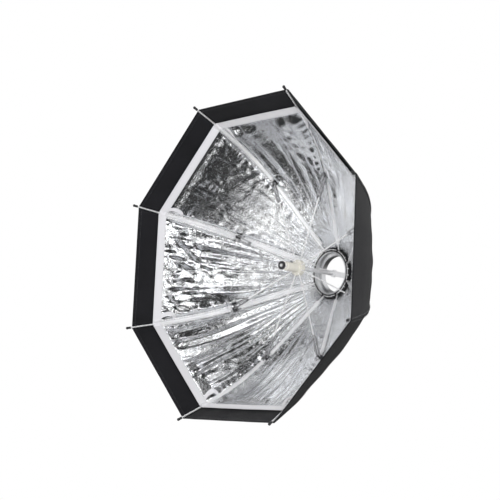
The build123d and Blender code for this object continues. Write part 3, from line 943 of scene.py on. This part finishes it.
# spring wire laid over the crown's face between the ribs
def makeKeeper():
    mesh = bmesh.new()
    for index in range(ribLine["count"]):
        corners = []
        for step in range(crownSet["wireSides"]):
            turn = 2 * math.pi * step / crownSet["wireSides"]
            height = crownSet["front"] - crownSet["keeperLift"] + crownSet["keeperWire"] * math.sin(turn)
            corners.append((crownSet["keeperRadius"] + crownSet["keeperWire"] * math.cos(turn), height))
        start = ribAngle(index) + crownSet["keeperGap"] / 2
        spinProfile(mesh, corners, True, start, ribPitch - crownSet["keeperGap"], crownSet["wireSteps"])
    bmesh.ops.holes_fill(mesh, edges=[edge for edge in mesh.edges if edge.is_boundary], sides=12)
    bmesh.ops.recalc_face_normals(mesh, faces=mesh.faces[:])
    finishPiece("keeper_wire", mesh, "ribSteel", "hub", 60)


# bright plates bedded in the crown's small notches
def makeNotchPlates():
    mesh = bmesh.new()
    length = crownSet["outer"] - crownSet["bore"] - plateSet["short"]
    middle = crownSet["outer"] - plateSet["setBack"] - length / 2
    for index in range(ribLine["count"] * plateSet["notches"]):
        if index % plateSet["notches"] == 0:
            continue        # the rib's own notch
        angle = ribLine["firstAngle"] + ribPitch * index / plateSet["notches"]
        for vert in bmesh.ops.create_cube(mesh, size=1.0)["verts"]:
            x, y, z = vert.co
            slim = plateSet["taper"] if y < 0 else 1.0
            height = crownSet["front"] + plateSet["depth"] * (plateSet["sink"] + y) - plateSet["proud"]
            vert.co = (radial(angle) * (middle + x * length * slim)
                       + tangent(angle) * z * plateSet["width"] * slim + Vector((0, height, 0)))
    bmesh.ops.recalc_face_normals(mesh, faces=mesh.faces[:])
    bmesh.ops.bevel(mesh, geom=mesh.edges[:], offset=plateSet["bevel"], offset_type="OFFSET", segments=2,
                    profile=0.5, affect="EDGES", material=-1)
    finishPiece("notch_plates", mesh, "ribSteel", "hub", 40)


makeThroatSleeve()
makeKeeper()
makeNotchPlates()
print("crown fittings made")


# collar where the shell is gathered at the crown
collarSet = {
    "rim": (0.0008, 0.0005), "profile": [(0, 0), (0.0012, -0.0012), (0.0034, -0.0030), (0.0056, -0.0050),
                                         (0.0076, -0.0064)],
    "steps": 256, "gathers": 48, "depth": 0.0006, "growth": 0.006, "thickness": 0.0005, "meanRadius": 0.064,
    "width": 0.0105,
}


def makeCollar():
    mesh = bmesh.new()
    out, ahead = collarSet["rim"]
    rim = Vector((crownHigh[0] + out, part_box("clamp_band")[0][1] + ahead, 0))
    verts = [mesh.verts.new(rim + Vector((radius, y, 0))) for radius, y in collarSet["profile"]]
    for a, b in zip(verts, verts[1:]):
        mesh.edges.new((a, b))
    bmesh.ops.spin(mesh, geom=mesh.verts[:] + mesh.edges[:], cent=(0, 0, 0), axis=(0, 1, 0), angle=2 * math.pi,
                   steps=collarSet["steps"], use_merge=True)
    for vert in mesh.verts:
        angle = math.atan2(vert.co.z, vert.co.x)
        out = math.hypot(vert.co.x, vert.co.z) - rim.x
        wave = crease(angle / (2 * math.pi) * collarSet["gathers"]) * collarSet["depth"]
        wave *= smooth(out, 0, collarSet["growth"])
        vert.co += radial(angle) * wave
    bmesh.ops.recalc_face_normals(mesh, faces=mesh.faces[:])
    bmesh.ops.solidify(mesh, geom=mesh.faces[:], thickness=collarSet["thickness"])
    bmesh.ops.recalc_face_normals(mesh, faces=mesh.faces[:])
    collar = finishPiece("collar", mesh, "blackWeave", "hub")


makeCollar()
print("collar made")


# floor, light and surroundings
lightSet = {
    "floorHeight": -1.25, "floorRadius": 2.6, "floorDark": (0.70, 0.70, 0.70, 1),
    "floorLight": (0.76, 0.76, 0.76, 1), "floorRough": 0.8, "floorScale": 3.0, "target": (0, -0.2, 0),
    "key": {"place": (2.4, -2.3, 0.1), "size": 1.6, "power": 130},
    "fill": {"place": (-2.2, -2.4, 0.6), "size": 1.4, "power": 10},
    "rim": {"place": (1.8, 2.0, 1.8), "size": 1.2, "power": 8},
}


def makeFloor():
    mesh = bmesh.new()
    bmesh.ops.create_circle(mesh, cap_ends=True, segments=96, radius=lightSet["floorRadius"])
    for vert in mesh.verts:
        vert.co.z = lightSet["floorHeight"]
    data = meshData("floor", mesh)
    floor = addObject("floor", data)
    n = Nodes("floorPaint")
    cloud = n.noise(objectPlace(n), lightSet["floorScale"])
    tone = n.blend(cloud, lightSet["floorDark"], lightSet["floorLight"])
    n.set(Base_Color=tone, Roughness=lightSet["floorRough"])
    data.materials.append(n.material)
    floor.visible_glossy = False


def makeLight(name, place, size, power):
    data = bpy.data.lights.new(name, "AREA")
    data.shape = "DISK"
    data.size = size
    data.energy = power
    light = addObject(name, data)
    light.location = place
    light.visible_glossy = False
    light.rotation_mode = "QUATERNION"
    light.rotation_quaternion = (Vector(place) - Vector(lightSet["target"])).to_track_quat("Z", "Y")


# The studio that the silver mirrors: soft white panels round a dim room, by azimuth from the mouth towards +X
# and elevation. What stands behind the softbox is plain white.
studioSet = {
    "dim": 0.035, "behind": 1.0,
    "panels": [
        {"azimuth": 50, "elevation": -4, "inner": 10, "outer": 16, "light": 3.0},
        {"azimuth": 84, "elevation": 2, "inner": 8, "outer": 12, "light": 2.8},
        {"azimuth": 8, "elevation": -5, "inner": 9, "outer": 14, "light": 3.0},
        {"azimuth": 18, "elevation": 24, "inner": 7, "outer": 13, "light": 2.8},
        {"azimuth": 8, "elevation": -35, "inner": 6, "outer": 15, "light": 2.0},
        {"azimuth": -26, "elevation": -28, "inner": 9, "outer": 14, "light": 3.2},
        {"azimuth": -16, "elevation": 56, "inner": 3, "outer": 8, "light": 1.2},
        {"azimuth": 60, "elevation": 72, "inner": 8, "outer": 14, "light": 3.0},
        {"azimuth": -70, "elevation": 15, "inner": 20, "outer": 40, "light": 1.4},
        {"azimuth": 150, "elevation": 25, "inner": 25, "outer": 60, "light": 0.8},
    ],
}


def makeWorld():
    world = bpy.data.worlds.new("studio")
    bpy.context.scene.world = world
    world.use_nodes = True
    tree = world.node_tree
    background = tree.nodes["Background"]
    direction = tree.nodes.new("ShaderNodeTexCoord").outputs["Generated"]
    total = None
    for panel in studioSet["panels"]:
        dot = tree.nodes.new("ShaderNodeVectorMath")
        dot.operation = "DOT_PRODUCT"
        tree.links.new(direction, dot.inputs[0])
        dot.inputs[1].default_value = aim(panel["azimuth"], panel["elevation"])
        edge = tree.nodes.new("ShaderNodeMapRange")
        edge.interpolation_type = "SMOOTHSTEP"
        tree.links.new(dot.outputs["Value"], edge.inputs["Value"])
        edge.inputs["From Min"].default_value = math.cos(math.radians(panel["outer"]))
        edge.inputs["From Max"].default_value = math.cos(math.radians(panel["inner"]))
        edge.inputs["To Max"].default_value = panel["light"]
        join = tree.nodes.new("ShaderNodeMath")
        join.operation = "ADD"
        tree.links.new(edge.outputs["Result"], join.inputs[0])
        if total is None:
            join.inputs[1].default_value = studioSet["dim"]
        else:
            tree.links.new(total, join.inputs[1])
        total = join.outputs[0]
    path = tree.nodes.new("ShaderNodeLightPath")
    mix = tree.nodes.new("ShaderNodeMix")
    tree.links.new(path.outputs["Is Camera Ray"], mix.inputs["Factor"])
    tree.links.new(total, mix.inputs["A"])
    mix.inputs["B"].default_value = studioSet["behind"]
    tree.links.new(mix.outputs["Result"], background.inputs["Color"])


makeFloor()
for name in ("key", "fill", "rim"):
    makeLight(name, **lightSet[name])
makeWorld()
print("floor, lights and world made")
bpy.context.scene.view_settings.view_transform = "Standard"
